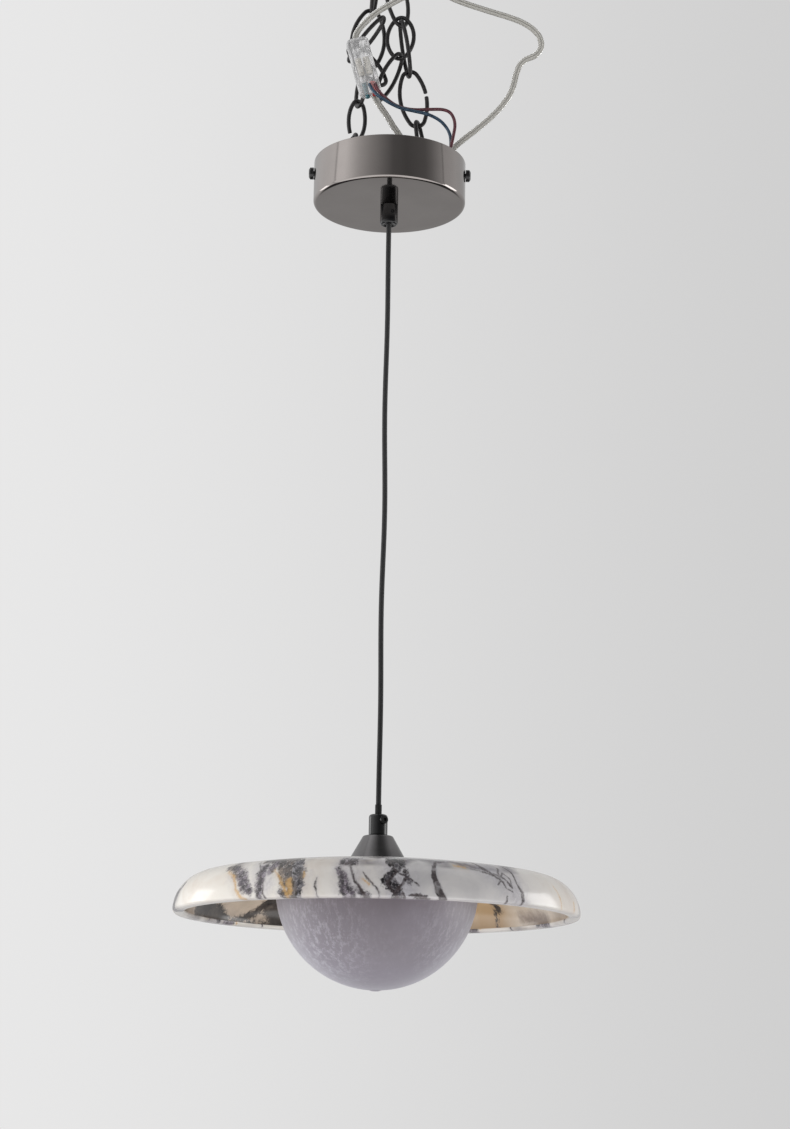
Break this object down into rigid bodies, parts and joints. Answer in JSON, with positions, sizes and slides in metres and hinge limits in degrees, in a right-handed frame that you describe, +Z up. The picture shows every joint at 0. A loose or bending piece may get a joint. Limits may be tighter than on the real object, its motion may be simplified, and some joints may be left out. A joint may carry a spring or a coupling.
{
  "type": "pendant light",
  "caption": "Pendant light with a shallow polished stone shade and an opal glass dome, hung by a black cord from a round canopy on linked chain.",
  "frame": {"origin": "middle of the ceiling plate's top face, where the plate meets the ceiling", "axes": "+Z up, +X to the viewer's right and +Y away from the viewer in the picture's view"},
  "size_m": [0.3, 0.3, 0.8553],
  "materials": {
    "black_wire": "satin black enamel",
    "black_nickel": "polished black nickel",
    "black_gloss": "gloss black",
    "zinc_steel": "zinc plated",
    "spring_steel": "bright",
    "braided_cord": "black textile braid",
    "clear_plastic": "clear",
    "clamp_brass": "bright",
    "teal_plastic": "gloss",
    "red_plastic": "gloss",
    "blue_plastic": "gloss",
    "brown_plastic": "gloss",
    "black_rubber": "matte",
    "marble": "polished, cream and purple-grey with dark veins",
    "white_paint": "satin white",
    "white_ceramic": "unglazed",
    "white_plastic": "matte",
    "opal_glass": "frosted opal, lilac grey",
    "frosted_glass": "frosted"
  },
  "bodies": {
    "ceiling": {"ceiling_plate": "black_wire", "ceiling_hook": "black_wire"},
    "chain": {"right_top_link": "black_wire", "right_long_link": "black_wire", "right_open_link": "black_wire", "right_bar_link": "black_wire", "left_top_link": "black_wire", "left_wide_link": "black_wire", "left_middle_link": "black_wire", "left_open_link": "black_wire", "left_bar_link": "black_wire", "loose_ring_link": "black_wire", "loose_hanging_link": "black_wire", "loose_side_link": "black_wire", "loose_cross_link": "black_wire", "canopy_bracket": "zinc_steel", "canopy_cup": "black_nickel", "canopy_grip": "black_gloss", "canopy_grip_nut": "zinc_steel", "canopy_cord_tail": "braided_cord", "connector_block": "clear_plastic", "connector_clamps": "clamp_brass", "teal_sleeve": "teal_plastic", "red_sleeve": "red_plastic", "clear_cord_long": "clear_plastic", "clear_cord_short": "clear_plastic", "blue_lead": "blue_plastic", "brown_lead": "brown_plastic"},
    "canopy_left_screw": {"canopy_screw_left": "black_gloss"},
    "canopy_right_screw": {"canopy_screw_right": "black_gloss"},
    "grip_screw": {"canopy_grip_screw": "black_gloss"},
    "cord": {"suspension_cord": "braided_cord"},
    "lamp": {"cord_sleeve": "black_rubber", "lamp_grip": "black_gloss", "cone_cap": "black_nickel", "threaded_tube": "zinc_steel", "marble_shade": "marble", "rubber_washer": "black_rubber", "steel_washer": "zinc_steel", "shade_nut": "zinc_steel", "dome_gallery": "white_paint", "gallery_nut": "zinc_steel", "dome_springs": "spring_steel", "lamp_holder": "white_ceramic", "holder_screws": "zinc_steel", "lamp_leads": "white_plastic"},
    "knob": {"lamp_grip_knob": "black_gloss"},
    "dome": {"glass_dome": "opal_glass"},
    "bulb": {"bulb_capsule": "frosted_glass", "bulb_base": "white_ceramic", "bulb_pins": "spring_steel"}
  },
  "joints": [
    {"name": "chain_swing", "type": "hinge", "parent": "ceiling", "child": "chain", "pos_m": [-0.00398, 0.0023, -0.0279], "axis": [0.5, 0.866, 0], "range_deg": [-15, 15]},
    {"name": "cord_swing", "type": "hinge", "parent": "chain", "child": "cord", "pos_m": [0, 0, -0.25761], "axis": [0, 1, 0], "range_deg": [-15, 15]},
    {"name": "lamp_turn", "type": "hinge", "parent": "cord", "child": "lamp", "pos_m": [0, 0, -0.72561], "axis": [0, 0, 1], "range_deg": [-180, 180]},
    {"name": "dome_pull", "type": "slide", "parent": "lamp", "child": "dome", "axis": [0, 0, -1], "range_m": [0, 0.04]},
    {"name": "bulb_pull", "type": "slide", "parent": "lamp", "child": "bulb", "axis": [0, 0, -1], "range_m": [0, 0.015]},
    {"name": "left_screw_out", "type": "slide", "parent": "chain", "child": "canopy_left_screw", "axis": [-1, 0, 0], "range_m": [0, 0.008]},
    {"name": "right_screw_out", "type": "slide", "parent": "chain", "child": "canopy_right_screw", "axis": [1, 0, 0], "range_m": [0, 0.008]},
    {"name": "grip_screw_out", "type": "slide", "parent": "chain", "child": "grip_screw", "axis": [0.4226, -0.9063, 0], "range_m": [0, 0.003]},
    {"name": "knob_out", "type": "slide", "parent": "lamp", "child": "knob", "axis": [0.5446, -0.8387, 0], "range_m": [0, 0.003]}
  ]
}
